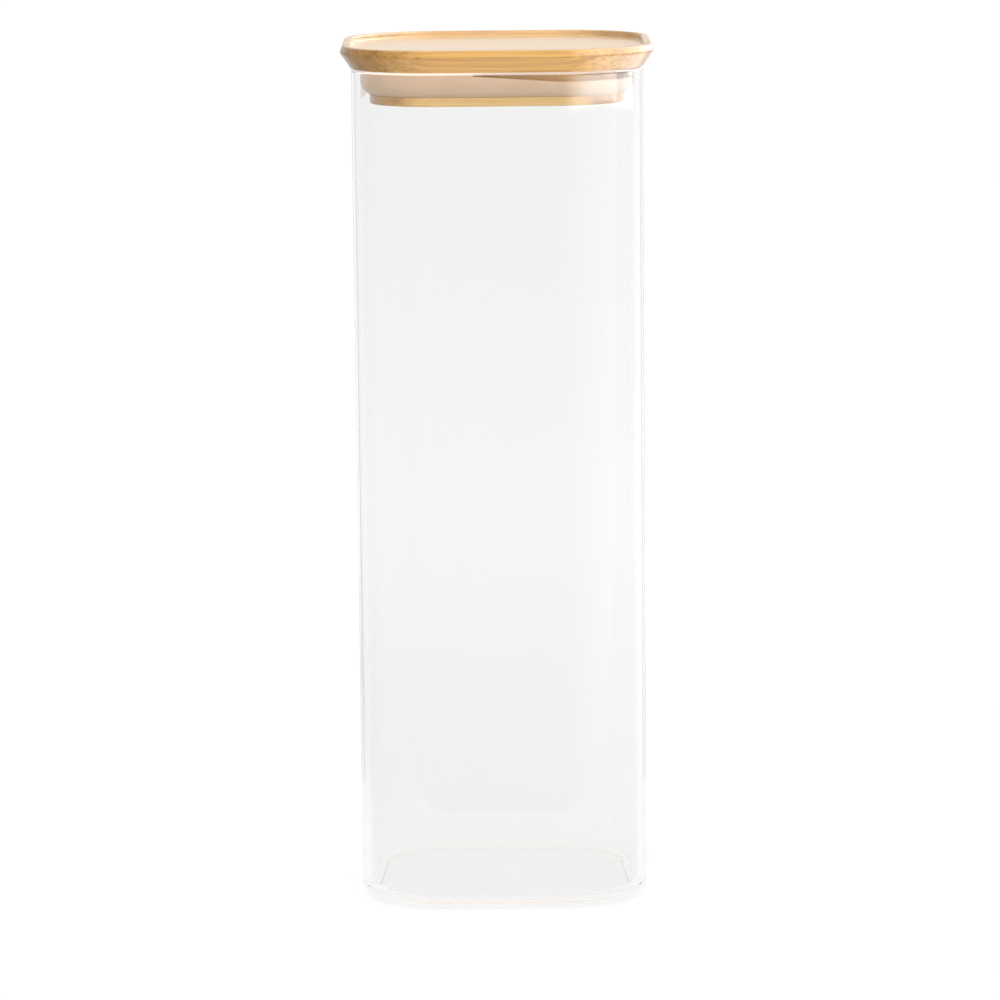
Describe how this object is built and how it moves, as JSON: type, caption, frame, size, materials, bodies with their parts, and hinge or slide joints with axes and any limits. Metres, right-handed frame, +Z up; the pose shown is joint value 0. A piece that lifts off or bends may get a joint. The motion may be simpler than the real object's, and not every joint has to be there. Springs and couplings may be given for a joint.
{
  "type": "lidded glass canister",
  "caption": "Tall square glass storage canister with rounded corners and a push-in bamboo lid: sunken top, bevelled edge, stepped plug and a silicone lip seal that closes the mouth.",
  "frame": {"origin": "centre of the underside of the glass, on the surface that the canister stands on", "axes": "+Z up the canister's long axis, -Y to the front of the picture, +X to its right"},
  "size_m": [0.1074, 0.1074, 0.2958],
  "materials": {
    "glass": "clear, fire polished",
    "bamboo": "satin lacquer",
    "silicone": "translucent, matte"
  },
  "bodies": {
    "jar": {"glass_jar": "glass"},
    "lid": {"silicone_seal": "silicone", "cover_strip_1": "bamboo", "cover_strip_2": "bamboo", "cover_strip_3": "bamboo", "cover_strip_4": "bamboo", "cover_strip_5": "bamboo", "neck_strip_1": "bamboo", "neck_strip_2": "bamboo", "neck_strip_3": "bamboo", "neck_strip_4": "bamboo", "flange_strip_1": "bamboo", "flange_strip_2": "bamboo", "flange_strip_3": "bamboo", "flange_strip_4": "bamboo", "flange_strip_5": "bamboo"}
  },
  "joints": [
    {"name": "lid_lift", "type": "slide", "parent": "jar", "child": "lid", "axis": [0, 0, 1], "range_m": [0, 0.12]}
  ]
}
